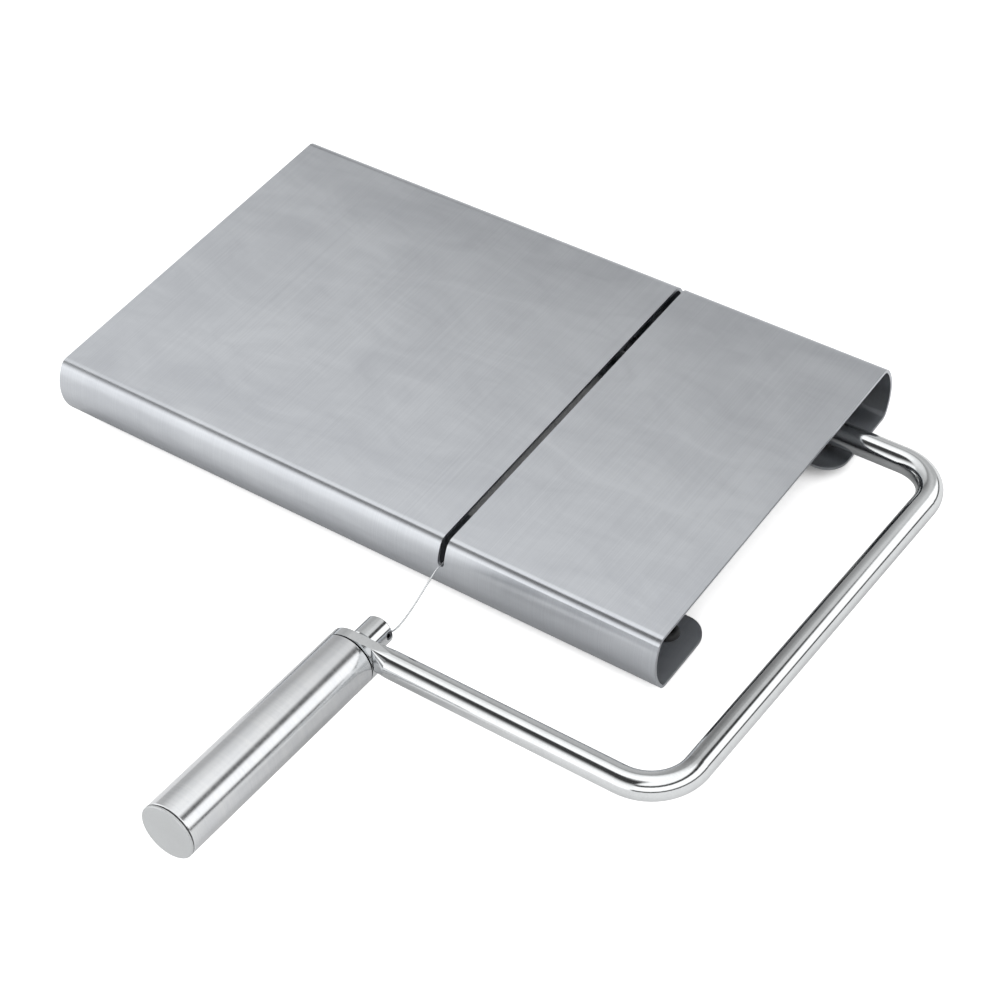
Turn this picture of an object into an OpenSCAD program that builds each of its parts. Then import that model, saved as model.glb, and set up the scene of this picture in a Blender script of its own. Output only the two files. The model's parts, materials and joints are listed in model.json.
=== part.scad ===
// Cheese slicer board. A stainless sheet folded round at its two long edges stands on
// four rubber feet. A bent rod is hinged inside the back fold and carries the cutting
// wire, which drops into the slot, and the handle, which turns to slacken the wire.
// All lengths are millimetres. X runs along the board, the handle points to -Y and Z is
// up. The origin is on the table, under the middle of the slicer's own box.

/* [Board] */
// Length of the board
board_l = 216; // [190:1:300]
// Width over the two folded edges
board_w = 132; // [124:1:180]
// Thickness over the folds, without the feet
board_h = 20; // [19:0.5:26]
// Thickness of the stainless sheet
sheet_t = 1; // [0.6:0.1:1.4]
// Outer radius of the bulging front and back walls
wall_r = 15.5; // [14:0.5:30]
// Outer radius of the bend between the top and a wall
top_bend_r = 3.5; // [2:0.5:6]
// Outer radius of the bend between a wall and its flange
bottom_bend_r = 3; // [2:0.5:6]
// Width of the flange folded under the front edge
front_flange_w = 29.2; // [28:0.2:40]
// Width of the flange folded under the back edge
back_flange_w = 32.8; // [32:0.2:45]
// Corner radius at the flange ends
flange_corner_r = 7; // [3:0.5:12]

/* [Slot] */
// Distance from the right end of the board to the middle of the slot
slot_inset = 71.4; // [50:0.2:90]
// Width of the slot
slot_w = 2.2; // [1.6:0.1:3.5]
// Height of the slot's two lower ends over the flanges' underside
slot_end_h = 12.2; // [11.6:0.1:14]

/* [Feet] */
// Diameter of a rubber foot
foot_d = 13; // [10:0.5:16]
// Height of a foot under the flange
foot_h = 4; // [2.5:0.5:8]
// How much the foot's radius shrinks towards the table
foot_taper = 0.8; // [0:0.1:1.5]
// Diameter of the stem that passes through the flange
foot_stem_d = 5; // [4:0.5:6]
// Diameter of the bulb that holds the foot in its hole
foot_bulb_d = 6.6; // [6.2:0.2:8]
// Height of the bulb over the flange
foot_bulb_h = 1.5; // [0.8:0.1:1.5]
// Distance from a board end to the middle of a foot
foot_end_inset = 9; // [8:0.5:20]
// Distance from a long edge to the middle of a foot
foot_side_inset = 21; // [20:0.5:24]

/* [Bow] */
// Diameter of the bent rod
rod_d = 8; // [6:0.5:8]
// Distance from the back edge to the hinge axis
pivot_inset = 22.9; // [22:0.1:24]
// Height of the hinge axis over the flanges' underside
pivot_h = 6.8; // [6.8:0.1:8]
// Distance from the hinge axis to the front leg's axis
bow_reach = 151.6; // [145:0.2:180]
// Angle of the bow over the table at rest, with the wire on the slot's front end
bow_angle = 5.3; // [4.6:0.1:7]
// Distance from the board's right end to the side leg's axis
bow_side = 30.6; // [24:0.2:50]
// Bend radius at the rod's centre line
bend_r = 14.3; // [10:0.1:20]
// Length of the rear leg, from the side leg's axis to its inner end
rear_leg_l = 158; // [155:1:200]
// Thickness of the flattened tab that carries the handle
tab_t = 3; // [2:0.2:4]
// How far inside the handle's rim the tab starts to thicken
neck_inset = 0.3; // [0:0.1:0.3]
// Length over which the tab thickens to the round rod
neck_l = 5.5; // [5:0.5:10]

/* [Hinge bearings] */
// Length of a bearing block along the rod
bearing_l = 12; // [8:1:20]
// Width of a bearing block's base
bearing_w = 19; // [18:0.5:19.5]
// Height of a bearing block's base
bearing_base_h = 4; // [3:0.5:6]
// Wall of the block over the rod
bearing_wall = 2.2; // [1.5:0.1:4]
// Distance from the board's right end to the outer bearing's middle
bearing_inset = 30; // [20:1:40]
// Distance between the middles of the two bearings
bearing_span = 74; // [60:1:90]
// Diameter of the bearing screws
bearing_screw_d = 2.5; // [2:0.1:2.6]
// Diameter of the bearing screws' heads
bearing_head_d = 4.6; // [4:0.1:4.8]
// Height of the bearing screws' heads
bearing_head_h = 1.5; // [1:0.1:2]
// Length of a bearing screw inside the block
bearing_screw_l = 3; // [2:0.5:3.5]
// Distance between the two screws of a block
bearing_screw_span = 15; // [14.5:0.1:15]
// Diameter of the cross pins that keep the rod in place
pin_d = 2; // [1.5:0.1:2.5]
// Length of the cross pins
pin_l = 9.6; // [9:0.1:10]
// Gap between a bearing block and a cross pin
pin_gap = 0.3; // [0.2:0.1:1]

/* [Cutting wire] */
// Diameter of the cutting wire
wire_d = 0.5; // [0.4:0.1:0.8]
// Diameter of the bead on the wire's rear end
bead_d = 2.4; // [1.6:0.1:2.8]
// Length of the bead
bead_l = 1.6; // [1:0.1:2]
// Length of wire that the handle lets out from tight to slack
wire_travel = 1.4; // [0.7:0.1:1.4]
// Distance from the front wall to the start of the wire's slack curve
wire_curve_gap = 1; // [1:0.5:4]
// Length over which the slack curve leads off along the slot
wire_lead = 4; // [1:0.5:8]
// How far the slack curve is drawn down in front of the boss
wire_sag = 7; // [0:0.5:9]
// How far the slack curve is drawn sideways in front of the boss
wire_swing = 1.5; // [0:0.5:4]
// How far in front of the boss it is drawn that way
wire_hook = 1.5; // [1:0.5:4]

/* [Handle] */
// Distance from the slot's middle to the handle's axis, towards the side leg
handle_shift = 1.3; // [0:0.1:3]
// Diameter of the handle
handle_d = 16.8; // [15:0.2:22]
// Length of the handle with its end cap
handle_l = 75; // [50:1:110]
// Wall of the handle's tube
handle_wall = 1.2; // [0.8:0.1:2]
// Gap between the tab and the handle, where the handle turns
handle_gap = 0.2; // [0.1:0.1:0.5]
// Thickness of the end cap's disc
cap_t = 0.7; // [0.5:0.1:3]
// Width of the groove between the tube and the cap's disc
cap_groove_w = 0.4; // [0.2:0.1:1]
// Depth of that groove
cap_groove_d = 0.5; // [0.3:0.1:0.8]
// Length of the cap's plug inside the tube
cap_plug_l = 6; // [3:0.5:12]
// Chamfer on the handle's edges
handle_edge = 0.3; // [0.1:0.1:0.6]
// Length of the threaded insert in the handle's near end
insert_l = 14; // [10:1:25]

/* [Wire tension] */
// Diameter of the threaded stud
stud_d = 4; // [3:0.5:5]
// Distance from the stud's axis to its flat
stud_flat = 1.5; // [1.2:0.1:1.5]
// Length of the stud inside the handle's insert
stud_reach = 12; // [8:0.5:13]
// Length of the stud inside the wire boss
stud_grip = 3.4; // [2:0.1:3.8]
// Diameter of the boss that clamps the wire
boss_d = 9; // [8:0.5:12]
// Length of the boss
boss_l = 8.6; // [8.4:0.2:14]
// Gap between the tab and the boss when the wire is tight
boss_gap = 3; // [2:0.1:5]
// Chamfer on the boss's edges
boss_edge = 0.6; // [0.2:0.1:1]
// Distance from the boss's axis to the wire
wire_offset = 1.8; // [1.4:0.1:2.2]
// Angle of the clamp screw over the bow's plane
clamp_angle = 12; // [0:1:20]
// Diameter of the clamp screw
clamp_d = 2.5; // [2:0.1:2.8]
// Distance from the boss's far face to the clamp screw's axis
clamp_inset = 1.9; // [1.8:0.1:2.6]
// Width across the corners of the clamp screw's hexagon socket
clamp_socket_d = 1.5; // [1:0.1:1.6]
// Depth of that socket
clamp_socket_l = 1.2; // [0.8:0.1:1.4]

/* [Hidden] */
$fn = 96;
// Radial running gap between the rod or the stud and its bearing
run_gap = 0.05;
// Radial gap between pieces that are pressed or screwed together
fit_gap = 0.03;
// Gap between the bead and its seat
rest_gap = 0.05;
// Gap between the resting wire and the slot's front end
slot_gap = 0.12;
// Radial gap round the wire in its holes
wire_gap = 0.25;
// How far a cut runs past the face that it opens
overrun = 1;
// Thickness of the two slices that the neck is stretched between
slice_t = 0.02;
// Number of short straight runs that the wire's slack curve is made of
wire_runs = 14;
// Radius of the joints between those runs, as a share of the wire's radius
wire_joint_share = 1.04;
// Radius at the top of a foot's bulb, as a share of the bulb's radius
bulb_top_share = 0.7;

rod_r = rod_d / 2;
wire_r = wire_d / 2;
handle_r = handle_d / 2;
stud_r = stud_d / 2;
boss_r = boss_d / 2;

slot_x = board_l / 2 - slot_inset;
pivot_y = board_w / 2 - pivot_inset;
side_leg_x = board_l / 2 + bow_side;
bearing_outer_x = board_l / 2 - bearing_inset;
bearing_inner_x = bearing_outer_x - bearing_span;
foot_x = board_l / 2 - foot_end_inset;
foot_y = board_w / 2 - foot_side_inset;

// The wall's arc and the centres of the two bends that it runs into
wall_y = board_w / 2 - wall_r;
top_bend_y = wall_y + sqrt(pow(wall_r - top_bend_r, 2) - pow(board_h / 2 - top_bend_r, 2));
bottom_bend_y =
    wall_y + sqrt(pow(wall_r - bottom_bend_r, 2) - pow(board_h / 2 - bottom_bend_r, 2));

// The tab is as wide as the handle and level with the rod's top
tab_drop = handle_r - rod_r;
tab_front = bow_reach + tab_t / 2;
tab_back = bow_reach - tab_t / 2;
boss_near = tab_back - boss_gap;
boss_far = boss_near - boss_l;

// The handle's axis and the point where the tab starts to thicken, from that axis
handle_x = slot_x + handle_shift;
neck_start = handle_r - neck_inset;

// The wire lies on the slot's front end
wire_rise_angle =
    atan((slot_end_h + wire_r + slot_gap - pivot_h) / (pivot_y + board_w / 2 - sheet_t));
bow_rise_angle = bow_angle - wire_rise_angle;
wire_grip = clamp_inset + clamp_d / 2;

// The bead's seat lies behind the hinge axis, deep enough to hold the bead when slack
bead_seat = rod_r - bead_l - wire_travel - 2 * rest_gap;

// The four points of the slack curve, in the wire's own frame
wire_drop = tab_drop - wire_offset * sin(clamp_angle);
wire_curve_start = (pivot_y + board_w / 2) / cos(wire_rise_angle) + wire_curve_gap;
wire_end = [
    handle_shift + wire_offset * cos(clamp_angle),
    boss_far * sin(bow_rise_angle) - wire_drop * cos(bow_rise_angle),
    boss_far * cos(bow_rise_angle) + wire_drop * sin(bow_rise_angle)
];
wire_curve = [
    [0, 0, wire_curve_start],
    [0, 0, wire_curve_start + wire_lead],
    wire_end + [wire_swing, -wire_sag, -wire_hook],
    wire_end
];

// The handle and its cap, measured from the hinge axis along the handle
handle_near = tab_front + handle_gap;
handle_far = handle_near + handle_l;
tube_l = handle_l - cap_t - cap_groove_w;
tube_r = handle_r - handle_wall;

// The box round the whole slicer at rest
cap_low = tab_drop + handle_r - handle_edge;
front_y = pivot_y - handle_far * cos(bow_angle) - cap_low * sin(bow_angle);
box_mid = [
    (side_leg_x + rod_r - board_l / 2) / 2,
    (board_w / 2 + front_y) / 2,
    -foot_h
];

// Moves a piece from the board's frame to the slicer's origin
module placed() {
    translate(-box_mid) children();
}

// The bow's frame: X along the hinge axis, -Y out to the front leg
module in_bow() {
    translate([0, pivot_y, pivot_h]) rotate([-bow_angle, 0, 0]) children();
}

// The handle's frame: Z along the handle, measured from the hinge axis
module in_handle() {
    in_bow() translate([handle_x, 0, -tab_drop]) rotate([90, 0, 0]) children();
}

// The wire's frame: Z along the wire, measured from the hinge axis
module in_wire() {
    translate([slot_x, pivot_y, pivot_h]) rotate([90 - wire_rise_angle, 0, 0]) children();
}

// A quarter or other part of a round bend that starts along Z and turns towards X
module bend(radius, angle, tube) {
    translate([radius, 0, 0]) rotate([90, 0, 180])
        rotate_extrude(angle = angle) translate([radius, 0]) circle(tube);
}

// The board's closed cross-section on the back half, shrunk by an inset
module half_section(inset) {
    reach = 2 * wall_r;
    top_way = [top_bend_y - wall_y, board_h / 2 - top_bend_r] / (wall_r - top_bend_r);
    bottom_way =
        [bottom_bend_y - wall_y, bottom_bend_r - board_h / 2] / (wall_r - bottom_bend_r);
    centre = [wall_y, board_h / 2];
    polygon([
        [-overrun, inset],
        [bottom_bend_y, inset],
        [top_bend_y, board_h - inset],
        [-overrun, board_h - inset]
    ]);
    translate([top_bend_y, board_h - top_bend_r]) circle(top_bend_r - inset);
    translate([bottom_bend_y, bottom_bend_r]) circle(bottom_bend_r - inset);
    intersection() {
        translate(centre) circle(wall_r - inset);
        polygon([centre, centre + reach * bottom_way, centre + reach * top_way]);
    }
}

module section(inset) {
    half_section(inset);
    mirror([1, 0]) half_section(inset);
}

// The flange of one long edge seen from above, with its two inner corners rounded
module flange_plan(width) {
    radius = flange_corner_r;
    translate([-board_l / 2, board_w / 2 - width + radius]) square([board_l, width]);
    translate([radius - board_l / 2, board_w / 2 - width])
        square([board_l - 2 * radius, width]);
    for (end = [-1, 1])
        translate([end * (board_l / 2 - radius), board_w / 2 - width + radius])
            circle(radius);
}

module board_shell() {
    color("#c3c6c9") difference() {
        translate([-board_l / 2, 0, 0]) rotate([90, 0, 90]) linear_extrude(board_l)
            difference() {
                section(0);
                section(sheet_t);
            }
        underside_opening();
        slot();
        for (x = [-foot_x, foot_x], y = [-foot_y, foot_y])
            translate([x, y, -overrun])
                cylinder(d = foot_stem_d, h = sheet_t + 2 * overrun);
        for (x = [bearing_inner_x, bearing_outer_x])
            bearing_screw_places(x) translate([0, 0, -overrun])
                cylinder(d = bearing_screw_d + 2 * run_gap, h = sheet_t + 2 * overrun);
    }
}

// The space between the two flanges
module underside_opening() {
    low_y = front_flange_w - flange_corner_r - board_w / 2;
    high_y = board_w / 2 - back_flange_w + flange_corner_r;
    translate([0, 0, -overrun]) linear_extrude(board_h / 2) difference() {
        translate([-board_l / 2 - overrun, low_y])
            square([board_l + 2 * overrun, high_y - low_y]);
        flange_plan(back_flange_w);
        mirror([0, 1]) flange_plan(front_flange_w);
    }
}

// The slot crosses the top and both bends and has round lower ends
module slot() {
    length = board_w + 2 * overrun;
    translate([slot_x, 0, slot_end_h + slot_w / 2]) {
        rotate([90, 0, 0]) cylinder(d = slot_w, h = length, center = true);
        translate([-slot_w / 2, -length / 2, 0]) cube([slot_w, length, board_h]);
    }
}

// A push-in foot: pad, stem and bulb in one piece of rubber
module foot(x, y) {
    pad_r = foot_d / 2;
    bulb_r = foot_bulb_d / 2;
    stem_r = foot_stem_d / 2 - fit_gap;
    color("#232324") translate([x, y, 0]) rotate_extrude() polygon([
        [0, -foot_h],
        [pad_r - foot_taper, -foot_h],
        [pad_r, 0],
        [stem_r, 0],
        [stem_r, sheet_t],
        [bulb_r, sheet_t],
        [bulb_r * bulb_top_share, sheet_t + foot_bulb_h],
        [0, sheet_t + foot_bulb_h]
    ]);
}

// The two screw axes of a bearing block
module bearing_screw_places(x) {
    for (side = [-1, 1])
        translate([x, pivot_y + side * bearing_screw_span / 2, 0]) children();
}

// A moulded nylon block that stands on the back flange and holds the rod
module bearing_block(x) {
    axis_h = pivot_h - sheet_t;
    arch_r = rod_r + bearing_wall;
    color("#e9e7e0") difference() {
        translate([x - bearing_l / 2, pivot_y, sheet_t]) rotate([90, 0, 90])
            linear_extrude(bearing_l) difference() {
                union() {
                    translate([-bearing_w / 2, 0]) square([bearing_w, bearing_base_h]);
                    intersection() {
                        translate([-arch_r, 0]) square([2 * arch_r, axis_h + arch_r]);
                        union() {
                            translate([0, axis_h]) circle(arch_r);
                            translate([-arch_r, 0]) square([2 * arch_r, axis_h]);
                        }
                    }
                }
                translate([0, axis_h]) circle(rod_r + run_gap);
            }
        bearing_screw_places(x) translate([0, 0, sheet_t - overrun])
            cylinder(d = bearing_screw_d, h = overrun + bearing_screw_l + rest_gap);
    }
}

// The two pan head screws that come up through the flange into a block
module bearing_screws(x) {
    color("#b4b7ba") bearing_screw_places(x) {
        translate([0, 0, -bearing_head_h]) cylinder(d = bearing_head_d, h = bearing_head_h);
        translate([0, 0, -bearing_head_h])
            cylinder(r = bearing_screw_d / 2 - fit_gap,
                     h = bearing_head_h + sheet_t + bearing_screw_l);
    }
}

// The bent rod: rear leg, side leg, front leg and the tab forged on its end
module bow_rod() {
    color("#c9cbce") in_bow() difference() {
        union() {
            rod_path();
            tab();
        }
        for (side = [-1, 1])
            translate([bearing_inner_x + side * pin_place(), 0, 0])
                cylinder(d = pin_d + 2 * fit_gap, h = rod_d + 2 * overrun, center = true);
        wire_hole();
        translate([handle_x, 0, -tab_drop]) rotate([90, 0, 0])
            translate([0, 0, tab_back - overrun])
                keyed_rod(stud_r + run_gap, stud_flat + run_gap, tab_t + 2 * overrun);
    }
}

// The rod's centre line, one leg after the other, from its inner end
module rod_path() {
    rear_straight = rear_leg_l - bend_r;
    side_straight = bow_reach - 2 * bend_r;
    front_straight = side_leg_x - bend_r - (handle_x + neck_start + neck_l);
    translate([side_leg_x - rear_leg_l, 0, 0]) rotate([-90, 0, 0]) rotate([0, 90, 0]) {
        cylinder(r = rod_r, h = rear_straight);
        translate([0, 0, rear_straight]) {
            bend(bend_r, 90, rod_r);
            translate([bend_r, 0, bend_r]) rotate([0, 90, 0]) {
                cylinder(r = rod_r, h = side_straight);
                translate([0, 0, side_straight]) {
                    bend(bend_r, 90, rod_r);
                    translate([bend_r, 0, bend_r]) rotate([0, 90, 0])
                        cylinder(r = rod_r, h = front_straight);
                }
            }
        }
    }
}

// The flat tab is a round eye for the handle, and a neck thickens it to the rod
module tab() {
    translate([handle_x, -tab_front, 0]) rotate([90, 0, 0]) mirror([0, 0, 1])
        linear_extrude(tab_t) {
            translate([0, -tab_drop]) circle(handle_r);
            translate([0, -rod_r]) square([neck_start, rod_d]);
        }
    translate([handle_x + neck_start, -bow_reach, 0]) hull() {
        translate([-slice_t, -tab_t / 2, -rod_r]) cube([slice_t, tab_t, rod_d]);
        translate([neck_l, 0, 0]) rotate([0, 90, 0])
            cylinder(r = rod_r, h = slice_t, $fn = 32);
    }
}

// The wire's hole across the rod, with the bead's recess behind it
module wire_hole() {
    recess_l = rod_r + overrun - bead_seat;
    rotate([bow_angle, 0, 0]) rotate([90 - wire_rise_angle, 0, 0])
        translate([slot_x, 0, 0]) {
            cylinder(r = wire_r + wire_gap, h = 2 * rod_r + overrun, center = true);
            translate([0, 0, -bead_seat - recess_l])
                cylinder(r = bead_d / 2 + wire_gap, h = recess_l);
        }
}

// A round rod with one flat, which keeps the stud from turning in the tab
module keyed_rod(radius, flat, length) {
    intersection() {
        cylinder(r = radius, h = length);
        translate([-radius, -radius, 0]) cube([2 * radius, radius + flat, length]);
    }
}

// Distance from the inner bearing's middle to a cross pin's axis
function pin_place() = bearing_l / 2 + pin_gap + pin_d / 2;

module cross_pin(side) {
    color("#9b9ea2") in_bow() translate([bearing_inner_x + side * pin_place(), 0, 0])
        cylinder(d = pin_d, h = pin_l, center = true);
}

// One straight run of the wire, with a round joint at its far end
module wire_run(from, to) {
    way = to - from;
    translate(from) rotate([0, acos(way.z / norm(way)), atan2(way.y, way.x)])
        cylinder(r = wire_r, h = norm(way));
    translate(to) sphere(wire_r * wire_joint_share);
}

// A point of the wire's slack curve, as a share of the way along it
function wire_point(share) =
    pow(1 - share, 3) * wire_curve[0]
    + 3 * pow(1 - share, 2) * share * wire_curve[1]
    + 3 * (1 - share) * pow(share, 2) * wire_curve[2]
    + pow(share, 3) * wire_curve[3];

// The wire runs from its bead through the rod and the slot, and curves to the boss
module cutting_wire() {
    tail = bead_seat + bead_l;
    color("#d5d7da") in_wire() {
        wire_run([0, 0, -tail], wire_point(0));
        for (i = [1:wire_runs])
            wire_run(wire_point((i - 1) / wire_runs), wire_point(i / wire_runs));
        translate(wire_end) rotate([-bow_rise_angle, 0, 0])
            cylinder(r = wire_r, h = wire_grip);
    }
}

// The bead is crimped on the wire and pulls on the bottom of the rod's recess
module wire_bead() {
    color("#a9acb0") in_wire() translate([0, 0, -bead_seat - rest_gap - bead_l])
        difference() {
            cylinder(d = bead_d, h = bead_l);
            translate([0, 0, -overrun])
                cylinder(r = wire_r + fit_gap, h = bead_l + 2 * overrun);
        }
}

// The boss on the stud's far end, drilled for the wire and its clamp screw
module wire_boss() {
    color("#c6c8cb") in_handle() translate([0, 0, boss_far]) difference() {
        rotate_extrude() polygon([
            [0, 0],
            [boss_r - boss_edge, 0],
            [boss_r, boss_edge],
            [boss_r, boss_l - boss_edge],
            [boss_r - boss_edge, boss_l],
            [0, boss_l]
        ]);
        translate([0, 0, boss_l - stud_grip])
            cylinder(r = stud_r + fit_gap, h = stud_grip + overrun);
        in_clamp(wire_offset) cylinder(d = clamp_d, h = boss_r);
        rotate([0, 0, clamp_angle]) translate([wire_offset, 0, -overrun])
            cylinder(r = wire_r + wire_gap, h = overrun + wire_grip + wire_gap);
    }
}

// The clamp screw's frame in the boss: Z points out along the screw
module in_clamp(radius) {
    translate([0, 0, clamp_inset]) rotate([0, 0, clamp_angle]) rotate([0, 90, 0])
        translate([0, 0, radius]) children();
}

module clamp_screw() {
    tip = wire_offset + wire_r + wire_gap / 2;
    length = boss_r - boss_edge / 2 - tip;
    color("#4b4d50") in_handle() translate([0, 0, boss_far]) in_clamp(tip) difference() {
        cylinder(r = clamp_d / 2 - fit_gap, h = length);
        translate([0, 0, length - clamp_socket_l])
            cylinder(d = clamp_socket_d, h = clamp_socket_l + overrun, $fn = 6);
    }
}

module tension_stud() {
    start = boss_near - stud_grip + fit_gap;
    color("#aeb1b4") in_handle() translate([0, 0, start])
        keyed_rod(stud_r, stud_flat, handle_near + stud_reach - start);
}

module handle_tube() {
    color("#c3c6c8") in_handle() translate([0, 0, handle_near]) rotate_extrude()
        polygon([
            [tube_r, 0],
            [handle_r - handle_edge, 0],
            [handle_r, handle_edge],
            [handle_r, tube_l - handle_edge],
            [handle_r - handle_edge, tube_l],
            [tube_r, tube_l]
        ]);
}

module handle_insert() {
    color("#a7aaad") in_handle() translate([0, 0, handle_near]) difference() {
        cylinder(r = tube_r - fit_gap, h = insert_l);
        translate([0, 0, -overrun])
            cylinder(r = stud_r + run_gap, h = insert_l + 2 * overrun);
    }
}

// The cap's disc, its groove and the plug that is pressed into the tube
module handle_end_cap() {
    plug_r = tube_r - fit_gap;
    groove_r = handle_r - cap_groove_d;
    disc_start = cap_plug_l + cap_groove_w;
    cap_l = disc_start + cap_t;
    color("#bfc1c3") in_handle() translate([0, 0, handle_far - cap_l]) rotate_extrude()
        polygon([
            [0, 0],
            [plug_r, 0],
            [plug_r, cap_plug_l],
            [groove_r, cap_plug_l],
            [groove_r, disc_start],
            [handle_r, disc_start],
            [handle_r, cap_l - handle_edge],
            [handle_r - handle_edge, cap_l],
            [0, cap_l]
        ]);
}

placed() board_shell();
placed() foot(-foot_x, -foot_y);  // foot_front_left
placed() foot(foot_x, -foot_y);  // foot_front_right
placed() foot(-foot_x, foot_y);  // foot_back_left
placed() foot(foot_x, foot_y);  // foot_back_right
placed() bearing_block(bearing_inner_x);  // bearing_block_inner
placed() bearing_block(bearing_outer_x);  // bearing_block_outer
placed() bearing_screws(bearing_inner_x);  // bearing_screws_inner
placed() bearing_screws(bearing_outer_x);  // bearing_screws_outer
placed() bow_rod();
placed() cross_pin(-1);  // cross_pin_inner
placed() cross_pin(1);  // cross_pin_outer
placed() cutting_wire();
placed() wire_bead();
placed() wire_boss();
placed() clamp_screw();
placed() tension_stud();
placed() handle_tube();
placed() handle_insert();
placed() handle_end_cap();
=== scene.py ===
import json
import math

import bmesh
import bpy
from mathutils import Matrix, Vector


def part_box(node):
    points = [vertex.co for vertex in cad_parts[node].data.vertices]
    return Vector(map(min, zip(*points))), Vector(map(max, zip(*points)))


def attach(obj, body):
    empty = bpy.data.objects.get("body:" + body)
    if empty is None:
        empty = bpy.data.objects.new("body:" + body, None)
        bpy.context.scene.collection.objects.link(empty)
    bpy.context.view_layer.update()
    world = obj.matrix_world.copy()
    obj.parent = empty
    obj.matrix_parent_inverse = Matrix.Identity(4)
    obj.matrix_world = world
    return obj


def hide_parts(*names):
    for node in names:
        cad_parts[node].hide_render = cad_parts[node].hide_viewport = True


bl_info = {
    "name": "Cheese slicer board",
    "version": (1, 0, 0),
    "blender": (4, 5, 0),
    "location": "3D View > Sidebar > Slicer",
    "description": "Finishes, small pieces and studio of a folded steel cheese slicer",
    "category": "Object",
}

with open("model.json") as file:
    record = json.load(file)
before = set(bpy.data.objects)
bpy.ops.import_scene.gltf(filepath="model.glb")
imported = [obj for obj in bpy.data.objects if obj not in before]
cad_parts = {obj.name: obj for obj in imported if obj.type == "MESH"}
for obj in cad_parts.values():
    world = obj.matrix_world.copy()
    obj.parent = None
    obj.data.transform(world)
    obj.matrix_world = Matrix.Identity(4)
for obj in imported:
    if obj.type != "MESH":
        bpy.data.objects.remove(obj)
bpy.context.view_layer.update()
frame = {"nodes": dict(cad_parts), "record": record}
NODES = frame["nodes"]
MM = 0.001

# The handle's axis and place, and how far it is tilted out of the table's plane
TURN = next(j for j in frame["record"]["behaviour"]["joints"] if j["name"] == "handle_turn")
ALONG = Vector(TURN["axis"]).normalized()
HANDLE_PLACE = Vector(TURN["pos_m"])
HANDLE_TILT = math.asin(ALONG.z)

# How far apart two faces may lean and still look like one round surface
SMOOTH_ANGLE = math.radians(30)
# A normal with more than this along X belongs to a face that looks along X
FACES_X = 0.7
WHITE = (1.0, 1.0, 1.0, 1.0)
# Steps in one turn of the stud's thread, and in one turn of a lathed foot or screw
THREAD_STEPS = 20
FOOT_STEPS = 40
SCREW_STEPS = 24
# The camera's right and up, solved from the board's corners in the photograph
CAMERA_RIGHT = Vector((0.81855441, 0.57071687, -0.06519919))
CAMERA_UP = Vector((-0.3718357, 0.61295166, 0.69715743))
# The camera's sensor width in millimetres, and the nearest and furthest it sees in metres
SENSOR = 36.0
NEAR_CLIP, FAR_CLIP = 0.01, 50.0
# The sockets of a mix node for each kind: first, second and result
MIX_SOCKETS = {"FLOAT": (2, 3, 0), "VECTOR": (4, 5, 1), "RGBA": (6, 7, 2)}


def linear(code):
    """An sRGB hex colour as a linear one with alpha 1."""
    parts = [int(code[i:i + 2], 16) / 255 for i in (1, 3, 5)]
    return (*[c / 12.92 if c <= 0.04045 else ((c + 0.055) / 1.055) ** 2.4 for c in parts], 1.0)


def tone(label, text, code):
    """A colour that the user can change."""
    return bpy.props.FloatVectorProperty(name=label, description=text, subtype="COLOR",
                                         size=4, min=0, max=1, default=linear(code))


def length(label, text, value):
    """A length that the user can change, in metres."""
    return bpy.props.FloatProperty(name=label, description=text, unit="LENGTH",
                                   min=0, default=value, precision=5)


class SlicerFinishes(bpy.types.PropertyGroup):
    """Tones and grain of the slicer's materials"""
    board: tone("Board", "Light tone of the brushed sheet", "#CED1D5")
    board_dark: tone("Board, dark", "Dark tone of the brushed sheet", "#BCBFC4")
    rod: tone("Rod", "Tone of the polished rod", "#DADCDD")
    handle: tone("Handle", "Light tone of the satin tube", "#D6D7D8")
    handle_dark: tone("Handle, dark", "Dark tone of the satin tube", "#CBCDD0")
    cap: tone("End cap", "Tone of the blasted end cap", "#CACCCD")
    wire: tone("Wire", "Tone of the drawn wire", "#D8DADB")
    turned: tone("Turned steel", "Tone of the stud, the pins and the screws", "#B9BBBE")
    clamp: tone("Clamp screw", "Tone of the worn clamp screw", "#77797C")
    # This tone colours the feet's real rubber and also the black ring that paints the shade in
    # the cap's groove
    rubber_and_groove_shade: tone("Rubber", "Tone of the feet and of the cap's ring", "#202021")
    nylon: tone("Bearings", "Tone of the nylon bearing blocks", "#E4E2DA")
    brush_gap: length("Brush line gap", "Distance between two brush lines", 0.35 * MM)


class SlicerSizes(bpy.types.PropertyGroup):
    """Sizes of the small pieces that are modelled here"""
    thread_pitch: length("Thread pitch", "Rise of the stud's thread in one turn", 0.7 * MM)
    thread_depth: length("Thread depth", "Depth of the stud's thread", 0.38 * MM)
    sheet: length("Sheet", "Thickness of the board's sheet round a foot's stem", 1.0 * MM)
    foot_taper: length("Foot taper", "How far a foot draws in towards the table", 0.8 * MM)
    foot_edge: length("Foot edge", "Radius of the rounding on a foot's edges", 0.6 * MM)
    foot_dimple: length("Foot dimple", "Radius of the dimple in a foot's top", 1.6 * MM)
    foot_stem: length("Foot stem", "Radius of the stem in the sheet's hole", 2.45 * MM)
    foot_bulb: length("Foot bulb", "Radius of the bulb over the sheet", 3.3 * MM)
    # Thickness of the black ring that paints the shade in the cap's groove; there is no real
    # seal
    groove_shade_ring: length("Seal ring", "Thickness of the ring in the end cap's groove", 0.38 * MM)
    groove: length("Cap groove", "Width of the end cap's groove", 0.4 * MM)
    screw_shank: length("Screw shank", "Radius of a bearing screw's shank", 1.22 * MM)
    screw_head: length("Screw head", "Height of a bearing screw's head", 1.5 * MM)
    socket: length("Screw socket", "Width of the bearing screws' hexagon", 2.0 * MM)
    socket_depth: length("Socket depth", "Depth of the bearing screws' hexagon", 0.8 * MM)


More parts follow.
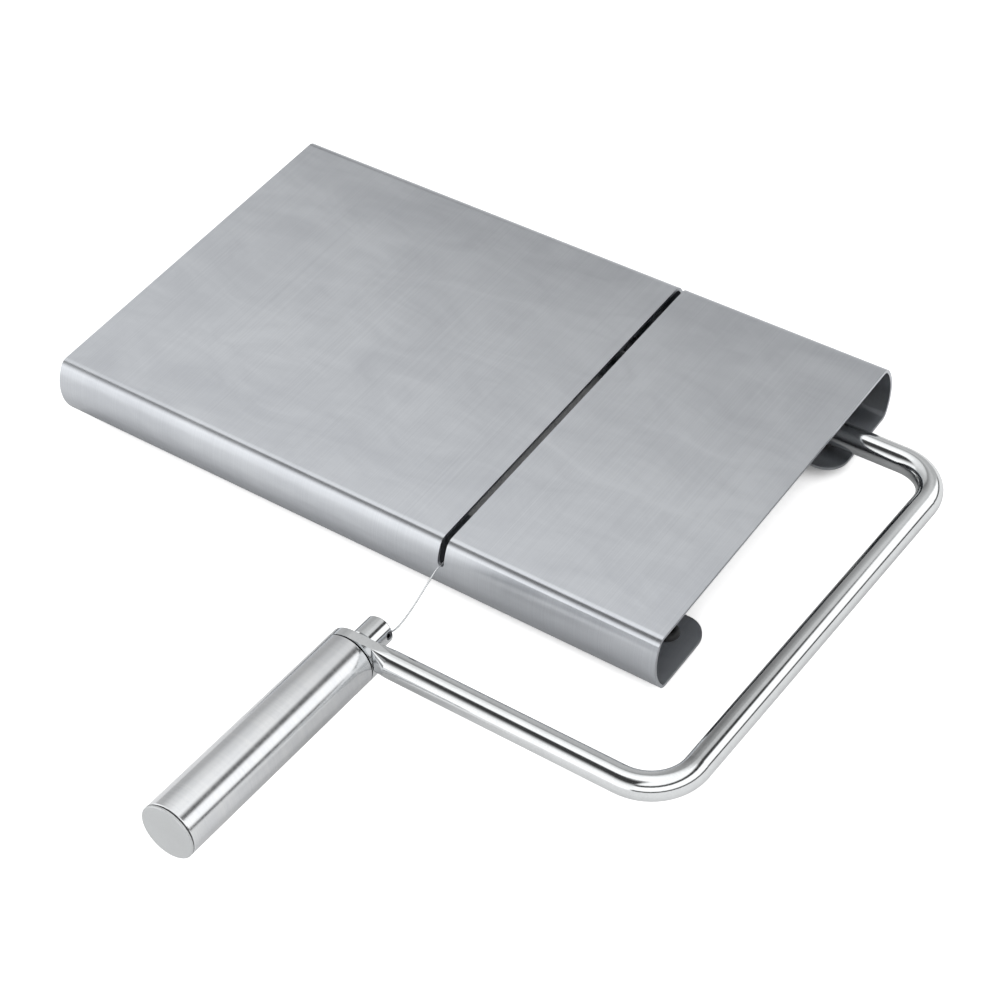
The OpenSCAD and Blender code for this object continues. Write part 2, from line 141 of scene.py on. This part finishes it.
class SlicerStage(bpy.types.PropertyGroup):
    """Camera, floor and light"""
    lens: bpy.props.FloatProperty(name="Lens", description="Focal length on a 36 mm sensor",
                                  subtype="DISTANCE_CAMERA", default=90.38)
    place: bpy.props.FloatVectorProperty(name="Camera", description="Place of the camera",
                                         unit="LENGTH", default=(0.336221, -0.371999, 0.53355))
    floor: length("Floor", "Half the width of the floor", 4.0)
    dome: length("Dome", "Radius of the dome that the metal reflects", 2.5)
    dome_gap: length("Dome gap", "Height of the dome's rim over the floor", 2 * MM)
    glow: bpy.props.FloatProperty(name="Dome glow", description="Brightness of a white cloth",
                                  min=0, default=1.55)
    world: bpy.props.FloatProperty(name="World", description="Light from all sides",
                                   min=0, default=0.8)
    lamp: bpy.props.FloatProperty(name="Softboxes", description="Brightness of a softbox",
                                  min=0, default=2.6)


# ---------------------------------------------------------------- materials

def add(tree, kind, inputs=None, **settings):
    """Adds one node with its settings and its inputs, which are sockets or plain values."""
    node = tree.nodes.new(kind)
    for name, value in settings.items():
        setattr(node, name, value)
    for name, value in (inputs or {}).items():
        if isinstance(value, bpy.types.NodeSocket):
            tree.links.new(value, node.inputs[name])
        else:
            node.inputs[name].default_value = value
    return node


def new_tree(name):
    """An empty node material and its tree."""
    material = bpy.data.materials.new(name)
    material.use_nodes = True
    material.node_tree.nodes.clear()
    return material, material.node_tree


def object_place(tree):
    """The object's own coordinates, in metres."""
    return add(tree, "ShaderNodeTexCoord").outputs["Object"]


def mapped(tree, place, scale=(1.0, 1.0, 1.0), turn=(0.0, 0.0, 0.0)):
    """Coordinates that are scaled and turned."""
    return add(tree, "ShaderNodeMapping", {"Vector": place, "Rotation": turn,
                                           "Scale": scale}).outputs["Vector"]


def noise(tree, place, scale, detail, rough, warp=0.0):
    """The values of a noise texture."""
    return add(tree, "ShaderNodeTexNoise", {
        "Vector": place, "Scale": scale, "Detail": detail, "Roughness": rough,
        "Distortion": warp}).outputs["Fac"]


def mix(tree, share, first, second, kind="FLOAT", **settings):
    """Two values, vectors or colours mixed by a share of the second."""
    a, b, result = MIX_SOCKETS[kind]
    return add(tree, "ShaderNodeMix", {0: share, a: first, b: second}, data_type=kind,
               **settings).outputs[result]


def remap(tree, value, low, high, to_low=0.0, to_high=1.0):
    """A value moved from one range into another, and kept inside it."""
    return add(tree, "ShaderNodeMapRange", {
        "Value": value, "From Min": low, "From Max": high, "To Min": to_low,
        "To Max": to_high}).outputs["Result"]


def maths(tree, operation, *values):
    """The result of one operation on values or sockets."""
    return add(tree, "ShaderNodeMath", dict(enumerate(values)), operation=operation).outputs[0]


def ramp(tree, value, places):
    """A colour ramp with its stops at (place, grey or colour) pairs."""
    node = add(tree, "ShaderNodeValToRGB", {"Fac": value})
    bar = node.color_ramp
    while len(bar.elements) < len(places):
        bar.elements.new(1.0)
    for element, (place, shade) in zip(bar.elements, places):
        element.position = place
        element.color = (shade, shade, shade, 1.0) if isinstance(shade, float) else shade
    return node.outputs["Color"]


def relief(tree, height, strength, depth):
    """Normals that follow a height of so many metres."""
    return add(tree, "ShaderNodeBump", {"Height": height, "Strength": strength,
                                        "Distance": depth}).outputs["Normal"]


def surface(tree, **inputs):
    """A Principled shader on the material's output."""
    shader = add(tree, "ShaderNodeBsdfPrincipled",
                 {name.replace("_", " "): value for name, value in inputs.items()})
    add(tree, "ShaderNodeOutputMaterial", {"Surface": shader.outputs["BSDF"]})


def brushed_stainless_sheet(finishes):
    """Stainless sheet ground with a belt across its width, then handled and wiped."""
    # The eye sees fine lines along Y, soft clouds where it was wiped, and light that
    # spreads across the lines. The lines are drawn 0.35 mm apart, coarser than real.
    material, tree = new_tree("brushed_stainless_sheet")
    place = object_place(tree)
    squeezed = mapped(tree, place, scale=(1 / finishes.brush_gap, 9.0, 9.0))
    lines = noise(tree, squeezed, scale=1.0, detail=4.0, rough=0.65)
    # Wiping draws the clouds out along the sheet's length. The turn comes after that, and
    # only keeps the noise's own lattice off the sheet's edges.
    stroke = mapped(tree, place, scale=(0.4, 1.0, 1.0), turn=(0.0, 0.0, math.radians(12)))
    clouds = noise(tree, stroke, scale=18.0, detail=4.0, rough=0.55, warp=0.8)
    smears = noise(tree, stroke, scale=90.0, detail=3.0, rough=0.6, warp=1.2)
    grain = mix(tree, 0.7, lines, mix(tree, 0.4, clouds, smears))
    colour = ramp(tree, grain, [(0.38, tuple(finishes.board_dark)),
                                (0.6, tuple(finishes.board))])
    # The light spreads along X, but along Y on the cut ends, which face X
    normal = add(tree, "ShaderNodeNewGeometry").outputs["Normal"]
    facing = add(tree, "ShaderNodeSeparateXYZ", {"Vector": normal}).outputs["X"]
    cut = maths(tree, "GREATER_THAN", maths(tree, "ABSOLUTE", facing), FACES_X)
    spread = mix(tree, cut, (1.0, 0.0, 0.0), (0.0, 1.0, 0.0), "VECTOR")
    surface(tree, Base_Color=colour, Roughness=remap(tree, grain, 0.3, 0.7, 0.27, 0.37),
            Metallic=1.0, Anisotropic=0.7, Tangent=spread,
            Normal=relief(tree, lines, 0.06, 0.02 * MM))
    return material


def polished_stainless_rod(finishes):
    """Drawn stainless rod, bent and buffed to a near mirror."""
    # The eye sees sharp bands that only waver a little, with faint buffing marks.
    material, tree = new_tree("polished_stainless_rod")
    place = object_place(tree)
    haze = noise(tree, place, scale=120.0, detail=4.0, rough=0.6)
    fine = noise(tree, place, scale=1800.0, detail=2.0, rough=0.6)
    mixed = mix(tree, 0.4, haze, fine)
    marks = ramp(tree, mixed, [(0.3, 0.88), (0.6, 1.0)])
    colour = mix(tree, 1.0, tuple(finishes.rod), marks, "RGBA", blend_type="MULTIPLY")
    surface(tree, Base_Color=colour, Roughness=remap(tree, mixed, 0.35, 0.65, 0.07, 0.13),
            Metallic=1.0, Normal=relief(tree, haze, 0.1, 0.05 * MM))
    return material


def ringed_steel(name, light, dark, rough, ring_gap, relief_share):
    """Steel turned or ground on a lathe, with rings round the handle's axis."""
    # The eye sees hair-fine rings across a round piece and soft bands of light along it.
    material, tree = new_tree(name)
    place = object_place(tree)
    turned = mapped(tree, place, turn=(HANDLE_TILT, 0.0, 0.0))
    squeezed = mapped(tree, turned, scale=(25.0, 1 / ring_gap, 25.0))
    rings = noise(tree, squeezed, scale=1.0, detail=4.0, rough=0.65)
    worn = noise(tree, place, scale=140.0, detail=3.0, rough=0.6)
    grain = mix(tree, 0.35, rings, worn)
    colour = ramp(tree, grain, [(0.35, tuple(dark)), (0.62, tuple(light))])
    surface(tree, Base_Color=colour, Metallic=1.0,
            Roughness=remap(tree, grain, 0.35, 0.65, rough * 0.85, rough * 1.15),
            Normal=relief(tree, rings, relief_share, 0.02 * MM))
    return material


def speckled(name, colour, rough, grain, metallic, relief_share, depth, low):
    """A surface with an even fine grain: drawn, blasted, blackened, plated or moulded."""
    # The eye sees specks as wide as the grain, darkened down to low, in a broader mottle.
    material, tree = new_tree(name)
    place = object_place(tree)
    specks = noise(tree, place, scale=1 / grain, detail=3.0, rough=0.7)
    broad = noise(tree, place, scale=90.0, detail=2.0, rough=0.5)
    mixed = mix(tree, 0.4, specks, broad)
    marks = ramp(tree, mixed, [(0.35, low), (0.6, 1.0)])
    shade = mix(tree, 1.0, tuple(colour), marks, "RGBA", blend_type="MULTIPLY")
    surface(tree, Base_Color=shade, Metallic=metallic,
            Roughness=remap(tree, mixed, 0.35, 0.65, rough * 0.88, rough * 1.12),
            Normal=relief(tree, specks, relief_share, depth))
    return material


def dress(names, material):
    """Gives CAD nodes their material."""
    for name in names:
        mesh = NODES[name].data
        mesh.materials.clear()
        mesh.materials.append(material)


# ------------------------------------------------------------------ pieces

def on_handle(reach):
    """From a piece's own Z to the handle's axis, so far from the handle's near end."""
    side = Vector((1.0, 0.0, 0.0))
    turn = Matrix((side, ALONG.cross(side), ALONG)).transposed().to_4x4()
    return Matrix.Translation(HANDLE_PLACE + ALONG * reach) @ turn


def object_from(name, shape, material):
    """Turns a bmesh into an object of the scene and frees it."""
    mesh = bpy.data.meshes.new(name)
    shape.to_mesh(mesh)
    shape.free()
    mesh.materials.append(material)
    thing = bpy.data.objects.new(name, mesh)
    bpy.context.scene.collection.objects.link(thing)
    return thing


def piece_from(name, shape, material, body, replaced=None):
    bmesh.ops.remove_doubles(shape, verts=shape.verts, dist=0.002 * MM)
    bmesh.ops.recalc_face_normals(shape, faces=shape.faces)
    for face in shape.faces:
        face.smooth = True
    for edge in shape.edges:
        edge.smooth = len(edge.link_faces) == 2 and edge.calc_face_angle() < SMOOTH_ANGLE
    piece = object_from(name, shape, material)
    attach(piece, body)
    if replaced:
        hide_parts(replaced)


def spin(shape, geom, steps, **climb):
    """Spins vertices and edges round Z, once and closed unless climb says otherwise."""
    bmesh.ops.spin(shape, geom=geom, cent=(0, 0, 0), axis=(0, 0, 1), steps=steps,
                   **(climb or {"angle": math.tau, "use_merge": True}))


def outline_in(shape, points):
    """Draws an open outline of (radius, height) points and returns what spin takes."""
    line = [shape.verts.new((r, 0.0, z)) for r, z in points]
    return line + [shape.edges.new(pair) for pair in zip(line, line[1:])]


def lathe(shape, points, steps):
    """Spins an outline of (radius, height) points round Z and returns the new vertices."""
    before = set(shape.verts)
    spin(shape, outline_in(shape, points), steps)
    return [v for v in shape.verts if v not in before]


class SLICER_OT_board(bpy.types.Operator):
    """Give the folded sheet its brushed finish"""
    bl_idname = "slicer.board"
    bl_label = "Folded board"

    def execute(self, context):
        dress(["board_shell"], brushed_stainless_sheet(context.scene.slicer_finishes))
        return {"FINISHED"}


class SLICER_OT_bow(bpy.types.Operator):
    """Give the bent rod, the boss and its clamp screw, and the wire with its bead finishes"""
    bl_idname = "slicer.bow"
    bl_label = "Bow and wire"

    def execute(self, context):
        finishes = context.scene.slicer_finishes
        dress(["bow_rod", "wire_boss"], polished_stainless_rod(finishes))
        # Cold-drawn wire is bright, with a fine even grain from the die
        drawn = speckled("drawn_stainless_wire", finishes.wire, rough=0.2, grain=0.3 * MM,
                         metallic=1.0, relief_share=0.05, depth=0.01 * MM, low=0.9)
        dress(["cutting_wire", "wire_bead"], drawn)
        # Black oxide worn on its edges: a grey skin with a dull, patchy shine
        worn = speckled("worn_black_oxide_screw", finishes.clamp, rough=0.3, grain=0.3 * MM,
                        metallic=1.0, relief_share=0.1, depth=0.02 * MM, low=0.6)
        dress(["clamp_screw"], worn)
        return {"FINISHED"}


class SLICER_OT_handle(bpy.types.Operator):
    """Give the handle's tube, insert and end cap their finishes, and fit a black ring that
    paints the shade in the cap's groove
    """
    bl_idname = "slicer.handle"
    bl_label = "Handle"

    def execute(self, context):
        finishes = context.scene.slicer_finishes
        sizes = context.scene.slicer_sizes
        # A grinding belt leaves the tube satin, with soft bands of light along it
        satin = ringed_steel("satin_ground_stainless_tube", finishes.handle,
                             finishes.handle_dark, rough=0.18, ring_gap=0.3 * MM,
                             relief_share=0.03)
        dress(["handle_tube"], satin)
        # The insert keeps its plain turning marks, which dull it
        lathed = ringed_steel("turned_steel_insert", finishes.turned, finishes.turned,
                              rough=0.3, ring_gap=0.2 * MM, relief_share=0.3)
        dress(["handle_insert"], lathed)
        # Bead blasting leaves an even matt grain that shows no bands of light
        blasted = speckled("bead_blasted_stainless_cap", finishes.cap, rough=0.5,
                           grain=0.25 * MM, metallic=1.0, relief_share=0.25,
                           depth=0.03 * MM, low=0.9)
        dress(["handle_end_cap"], blasted)
        # A thin black ring in the groove between the tube and the cap paints the groove's
        # shade; it is no real seal
        low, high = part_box("handle_tube")
        radius = (high.x - low.x) / 2
        shape = bmesh.new()
        ring = bmesh.ops.create_circle(shape, segments=10, radius=sizes.groove_shade_ring / 2)["verts"]
        bmesh.ops.rotate(shape, cent=(0, 0, 0), verts=ring,
                         matrix=Matrix.Rotation(math.pi / 2, 3, "X"))
        bmesh.ops.translate(shape, vec=(radius - sizes.groove_shade_ring / 2, 0, 0), verts=ring)
        spin(shape, ring + shape.edges[:], steps=72)
        # The ring lies in the middle of the groove, past the tube's far end
        tube = NODES["handle_tube"].data.vertices
        reach = max((v.co - HANDLE_PLACE).dot(ALONG) for v in tube) + sizes.groove / 2
        bmesh.ops.transform(shape, matrix=on_handle(reach), verts=shape.verts)
        # The painted-shade ring is black and matt, with a fine grain
        rubber_and_groove_shade = speckled("painted_groove_shade_black", finishes.rubber_and_groove_shade, rough=0.5, grain=0.3 * MM,
                          metallic=0.0, relief_share=0.1, depth=0.02 * MM, low=0.8)
        piece_from("cap_groove_shade_ring", shape, rubber_and_groove_shade, "handle")
        return {"FINISHED"}


class SLICER_OT_stud(bpy.types.Operator):
    """Cut the thread and the long flat of the stud between boss and handle"""
    bl_idname = "slicer.stud"
    bl_label = "Threaded stud"

    def execute(self, context):
        finishes = context.scene.slicer_finishes
        sizes = context.scene.slicer_sizes
        low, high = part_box("tension_stud")
        radius = (high.x - low.x) / 2
        reach = ((low + high) / 2 - HANDLE_PLACE).dot(ALONG)
        # The box's length holds the stud's length and its tilted width
        half = ((high.y - low.y) - 2 * radius * math.sin(HANDLE_TILT)) / 2 / abs(ALONG.y)
        pitch, root = sizes.thread_pitch, radius - sizes.thread_depth
        # The end cuts take the spare turns off again
        spare_turns = 3
        turns = math.ceil(2 * half / pitch) + spare_turns
        start = -pitch * turns / 2
        # One thread groove and crest: the radius, and the height as a share of the pitch
        profile = [(root, 0.0), (root, 0.12), (radius, 0.42), (radius, 0.58), (root, 0.88),
                   (root, 1.0)]
        shape = bmesh.new()
        geom = outline_in(shape, [(r, start + share * pitch) for r, share in profile])
        spin(shape, geom, THREAD_STEPS * turns, dvec=(0, 0, pitch / THREAD_STEPS),
             angle=math.tau * turns)
        bmesh.ops.remove_doubles(shape, verts=shape.verts, dist=0.005 * MM)
        # Cut the two ends and the long flat, three quarters of the radius from the axis
        flat = radius * 0.75
        for point, way in (((0, 0, half), (0, 0, 1)), ((0, 0, -half), (0, 0, -1)),
                           ((0, flat, 0), (0, 1, 0))):
            geom = shape.verts[:] + shape.edges[:] + shape.faces[:]
            cut = bmesh.ops.bisect_plane(shape, geom=geom, plane_co=point, plane_no=way,
                                         clear_outer=True)
            rim = [e for e in cut["geom_cut"] if isinstance(e, bmesh.types.BMEdge)]
            bmesh.ops.triangle_fill(shape, edges=rim, use_beauty=True)
        # The stud's Z runs along the handle, and its flat faces the bow's upper side
        bmesh.ops.transform(shape, matrix=on_handle(reach), verts=shape.verts)
        # A rolled thread is burnished, with faint rings on its flanks
        steel = ringed_steel("rolled_stainless_thread", finishes.turned, finishes.turned,
                             rough=0.22, ring_gap=0.2 * MM, relief_share=0.1)
        piece_from("stud_thread", shape, steel, "tensioner", "tension_stud")
        return {"FINISHED"}


class SLICER_OT_feet(bpy.types.Operator):
    """Mould the four push-in rubber feet, with rounded pads and dimpled bulbs"""
    bl_idname = "slicer.feet"
    bl_label = "Rubber feet"

    def execute(self, context):
        finishes = context.scene.slicer_finishes
        sizes = context.scene.slicer_sizes
        # Moulded rubber is near black and matt, with a grain that catches a little light
        rubber_and_groove_shade = speckled("moulded_black_rubber", finishes.rubber_and_groove_shade, rough=0.55,
                          grain=0.4 * MM, metallic=0.0, relief_share=0.2, depth=0.05 * MM,
                          low=0.7)
        edge, dimple, bulb, stem = (sizes.foot_edge, sizes.foot_dimple, sizes.foot_bulb,
                                    sizes.foot_stem)
        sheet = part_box("board_shell")[0].z
        sheet_top = sheet + sizes.sheet
        for name in [n for n in NODES if n.startswith("foot_")]:
            low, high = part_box(name)
            pad = (high.x - low.x) / 2
            top = high.z
            foot = pad - sizes.foot_taper
            # The middle point of a rounded edge lies this far in from both its sides
            bevel = edge * 0.3
            hollow = low.z + 0.3 * MM
            points = [
                # The shallow hollow in the foot's face on the table
                (0.0, hollow), (foot * 0.62, hollow), (foot * 0.68, low.z),
                # The rounded pad, wider towards the sheet
                (foot - edge, low.z), (foot - bevel, low.z + bevel),
                (foot + 0.1 * MM, low.z + edge), (pad, sheet - edge),
                (pad - bevel, sheet - bevel), (pad - edge, sheet),
                # The stem through the sheet, and the bulb that holds it
                (stem, sheet), (stem, sheet_top), (bulb, sheet_top),
                (bulb, sheet_top + 0.35 * MM), (bulb - 0.3 * MM, top - 0.45 * MM),
                (bulb - 0.7 * MM, top - 0.12 * MM),
                # The dimple in the bulb's top
                (dimple + 0.35 * MM, top), (dimple, top - 0.1 * MM),
                (dimple - 0.4 * MM, top - 0.7 * MM), (0.0, top - 0.8 * MM),
            ]
            shape = bmesh.new()
            lathe(shape, points, FOOT_STEPS)
            bmesh.ops.translate(shape, vec=((low.x + high.x) / 2, (low.y + high.y) / 2, 0),
                                verts=shape.verts)
            piece_from(name + "_rubber", shape, rubber_and_groove_shade, "board", name)
        return {"FINISHED"}


class SLICER_OT_bearings(bpy.types.Operator):
    """Dress the nylon bearing blocks and the cross pins, and model the blocks' screws"""
    bl_idname = "slicer.bearings"
    bl_label = "Bearings, pins and screws"

    def execute(self, context):
        finishes = context.scene.slicer_finishes
        sizes = context.scene.slicer_sizes
        # Moulded nylon is milky, smooth and a little uneven in its shine
        nylon = speckled("moulded_nylon_block", finishes.nylon, rough=0.42, grain=0.5 * MM,
                         metallic=0.0, relief_share=0.08, depth=0.03 * MM, low=0.95)
        dress(["bearing_block_inner", "bearing_block_outer"], nylon)
        # Centreless grinding leaves fine rings round the pins
        pins = ringed_steel("ground_steel_pin", finishes.turned, finishes.turned,
                            rough=0.25, ring_gap=0.2 * MM, relief_share=0.1)
        dress(["cross_pin_inner", "cross_pin_outer"], pins)
        # Zinc plating is bright, with a fine grain
        zinc = speckled("zinc_plated_screw_steel", finishes.turned, rough=0.3,
                        grain=0.3 * MM, metallic=1.0, relief_share=0.08, depth=0.02 * MM,
                        low=0.85)
        for name in ("bearing_screws_inner", "bearing_screws_outer"):
            low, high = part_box(name)
            head = (high.x - low.x) / 2
            shank, underside = sizes.screw_shank, low.z + sizes.screw_head
            chamfer, mouth = 0.3 * MM, 1.3 * MM
            points = [
                # The domed head, from the flat round the socket to the underside
                (mouth, low.z), (head * 0.8, low.z + 0.15 * MM),
                (head * 0.94, low.z + 0.45 * MM), (head, low.z + 0.9 * MM),
                (head, underside),
                # The shank and the chamfer at its end
                (shank, underside), (shank, high.z - chamfer), (shank - chamfer, high.z),
                (0.0, high.z),
            ]
            shape = bmesh.new()
            for y in (low.y + head, high.y - head):
                made = lathe(shape, points, SCREW_STEPS)
                rim = {e for v in made for e in v.link_edges if len(e.link_faces) == 1}
                ring = bmesh.ops.create_circle(shape, segments=6,
                                               radius=sizes.socket / 2)["verts"]
                bmesh.ops.translate(shape, vec=(0, 0, low.z), verts=ring)
                sides = {e for v in ring for e in v.link_edges}
                bmesh.ops.bridge_loops(shape, edges=list(rim | sides))
                well = bmesh.ops.extrude_edge_only(shape, edges=list(sides))["geom"]
                floor = [v for v in well if isinstance(v, bmesh.types.BMVert)]
                bmesh.ops.translate(shape, vec=(0, 0, sizes.socket_depth), verts=floor)
                bmesh.ops.contextual_create(shape, geom=floor)
                bmesh.ops.translate(shape, vec=((low.x + high.x) / 2, y, 0),
                                    verts=made + ring + floor)
            piece_from(name + "_heads", shape, zinc, "board", name)
        return {"FINISHED"}


# ------------------------------------------------------------------- stage

def stage_object(name, shape, material, seen):
    """Adds a stage object, such as the floor. One that isn't seen only shows in metal."""
    thing = object_from(name, shape, material)
    if not seen:
        thing.visible_camera = False
        thing.visible_diffuse = False
        thing.visible_shadow = False


def white_floor_paper():
    """Matt white paper that keeps the slicer's shadow and runs out to pure white."""
    material, tree = new_tree("white_floor_paper")
    open_sky = add(tree, "ShaderNodeAmbientOcclusion", {"Distance": 0.2},
                   samples=16).outputs["AO"]
    path = add(tree, "ShaderNodeLightPath").outputs
    # The camera sees white close up to the slicer, and the metal only further off
    near = remap(tree, open_sky, 0.04, 0.3, 0.0, 0.86)
    far = remap(tree, open_sky, 0.6, 1.0, 0.0, 0.45)
    bounced = maths(tree, "MAXIMUM", path["Is Glossy Ray"], path["Is Transmission Ray"])
    reflected = maths(tree, "MULTIPLY", far, bounced)
    glow = maths(tree, "MULTIPLY_ADD", near, path["Is Camera Ray"], reflected)
    paper = add(tree, "ShaderNodeBsdfDiffuse", {"Color": linear("#D9D9D9")})
    shine = add(tree, "ShaderNodeEmission", {"Color": WHITE, "Strength": glow})
    both = add(tree, "ShaderNodeAddShader", {0: paper.outputs[0], 1: shine.outputs[0]})
    add(tree, "ShaderNodeOutputMaterial", {"Surface": both.outputs[0]})
    return material


def studio_dome_cloth(strength):
    """Grey cloths round and over the table, which give the metal its darker bands."""
    material, tree = new_tree("studio_dome_cloth")
    way = add(tree, "ShaderNodeVectorMath", {0: object_place(tree)}, operation="NORMALIZE")
    x, y, z = add(tree, "ShaderNodeSeparateXYZ", {"Vector": way.outputs["Vector"]}).outputs
    # Grey towards the left and back, lighter with height up to a white cloth overhead
    back = ramp(tree, z, [(0.0, 0.4), (0.42, 0.4), (0.56, 0.5), (0.66, 0.62), (0.8, 0.7),
                          (0.88, 0.9), (0.96, 1.0)])
    # White low down in front, and dark from the camera's height up
    front = ramp(tree, z, [(0.35, 1.0), (0.6, 0.8), (0.72, 0.3), (0.8, 0.04), (0.96, 0.04),
                           (1.0, 0.4)])
    # A white cloth on the right between two dark strips
    right = ramp(tree, z, [(0.0, 0.5), (0.04, 0.04), (0.13, 0.06), (0.21, 1.0), (0.6, 1.0),
                           (0.65, 0.04), (0.75, 0.04), (0.8, 0.95)])
    # The back cloth darkens where the board's far end mirrors it, less so on the right
    fade = ramp(tree, y, [(0.5, 1.0), (0.56, 0.95), (0.6, 0.74), (0.65, 0.38), (0.72, 0.6),
                          (0.84, 1.0)])
    kept = mix(tree, remap(tree, x, -0.28, -0.12, 0.0, 0.45), fade, 1.0)
    faded = add(tree, "ShaderNodeVectorMath", {0: back, "Scale": kept}, operation="SCALE")
    left = mix(tree, remap(tree, y, -0.14, -0.04), front, faded.outputs["Vector"], "RGBA")
    cloths = mix(tree, remap(tree, x, 0.12, 0.22), left, right, "RGBA")
    glow = add(tree, "ShaderNodeEmission", {"Color": cloths, "Strength": strength})
    add(tree, "ShaderNodeOutputMaterial", {"Surface": glow.outputs[0]})
    return material


class SLICER_OT_stage(bpy.types.Operator):
    """Add the camera, the white floor, the reflecting dome, the softboxes and the world"""
    bl_idname = "slicer.stage"
    bl_label = "Stage"

    def execute(self, context):
        stage = context.scene.slicer_stage
        scene = context.scene
        data = bpy.data.cameras.new("camera")
        data.lens, data.sensor_width = stage.lens, SENSOR
        data.clip_start, data.clip_end = NEAR_CLIP, FAR_CLIP
        camera = bpy.data.objects.new("camera", data)
        right = CAMERA_RIGHT.normalized()
        back = right.cross(CAMERA_UP).normalized()
        turn = Matrix((right, back.cross(right), back)).transposed().to_4x4()
        camera.matrix_world = Matrix.Translation(stage.place) @ turn
        scene.collection.objects.link(camera)
        scene.camera = camera

        shape = bmesh.new()
        bmesh.ops.create_grid(shape, x_segments=1, y_segments=1, size=stage.floor)
        stage_object("floor", shape, white_floor_paper(), True)

        shape = bmesh.new()
        bmesh.ops.create_uvsphere(shape, u_segments=48, v_segments=24, radius=stage.dome)
        geom = shape.verts[:] + shape.edges[:] + shape.faces[:]
        bmesh.ops.bisect_plane(shape, geom=geom, plane_co=(0, 0, stage.dome_gap),
                               plane_no=(0, 0, -1), clear_outer=True)
        stage_object("reflecting_dome", shape, studio_dome_cloth(stage.glow), False)

        # Each softbox: name, direction from the slicer, distance, width and height
        for name, way, distance, wide, high in (
                ("softbox_back_right", (0.46, 0.52, 0.72), 1.8, 0.5, 0.9),
                ("softbox_front_left", (-0.44, -0.56, 0.70), 1.8, 1.6, 0.45),
                ("softbox_front_right", (0.75, -0.45, 0.48), 1.8, 0.5, 0.5)):
            lamp = bpy.data.lights.new(name, "AREA")
            lamp.shape, lamp.size, lamp.size_y = "RECTANGLE", wide, high
            lamp.energy = stage.lamp * math.pi * wide * high
            holder = bpy.data.objects.new(name, lamp)
            holder.location = Vector(way).normalized() * distance
            holder.rotation_euler = Vector(way).to_track_quat("Z", "Y").to_euler()
            holder.visible_glossy = False
            scene.collection.objects.link(holder)

        # The world lights the slicer evenly, and what looks straight at it sees white
        world = bpy.data.worlds.new("studio")
        scene.world = world
        world.use_nodes = True
        tree = world.node_tree
        tree.nodes.clear()
        soft = add(tree, "ShaderNodeBackground", {"Strength": stage.world})
        white = add(tree, "ShaderNodeBackground", {"Color": WHITE})
        path = add(tree, "ShaderNodeLightPath").outputs
        direct = maths(tree, "MAXIMUM", path["Is Camera Ray"], path["Is Glossy Ray"])
        shown = maths(tree, "MAXIMUM", direct, path["Is Transmission Ray"])
        both = add(tree, "ShaderNodeMixShader", {
            0: shown, 1: soft.outputs[0], 2: white.outputs[0]})
        add(tree, "ShaderNodeOutputWorld", {"Surface": both.outputs[0]})
        scene.view_settings.view_transform = "Standard"
        return {"FINISHED"}


OPERATORS = (SLICER_OT_board, SLICER_OT_bow, SLICER_OT_handle, SLICER_OT_stud,
             SLICER_OT_feet, SLICER_OT_bearings, SLICER_OT_stage)
GROUPS = {"slicer_finishes": SlicerFinishes, "slicer_sizes": SlicerSizes,
          "slicer_stage": SlicerStage}


class SLICER_PT_panel(bpy.types.Panel):
    """Lists the slicer's pieces and their settings"""
    bl_idname = "SLICER_PT_panel"
    bl_label = "Cheese slicer board"
    bl_space_type = "VIEW_3D"
    bl_region_type = "UI"
    bl_category = "Slicer"

    def draw(self, context):
        for operator in OPERATORS:
            self.layout.operator(operator.bl_idname)
        for group in GROUPS:
            settings = getattr(context.scene, group)
            box = self.layout.box()
            for name in settings.__annotations__:
                box.prop(settings, name)


def register():
    for kind in (*GROUPS.values(), *OPERATORS, SLICER_PT_panel):
        bpy.utils.register_class(kind)
    for name, kind in GROUPS.items():
        setattr(bpy.types.Scene, name, bpy.props.PointerProperty(type=kind))


def unregister():
    for name in GROUPS:
        delattr(bpy.types.Scene, name)
    for kind in reversed((*GROUPS.values(), *OPERATORS, SLICER_PT_panel)):
        bpy.utils.unregister_class(kind)


def main():
    register()
    bpy.ops.slicer.board()
    bpy.ops.slicer.bow()
    bpy.ops.slicer.handle()
    bpy.ops.slicer.stud()
    bpy.ops.slicer.feet()
    bpy.ops.slicer.bearings()
    bpy.ops.slicer.stage()


if __name__ == "__main__":
    main()
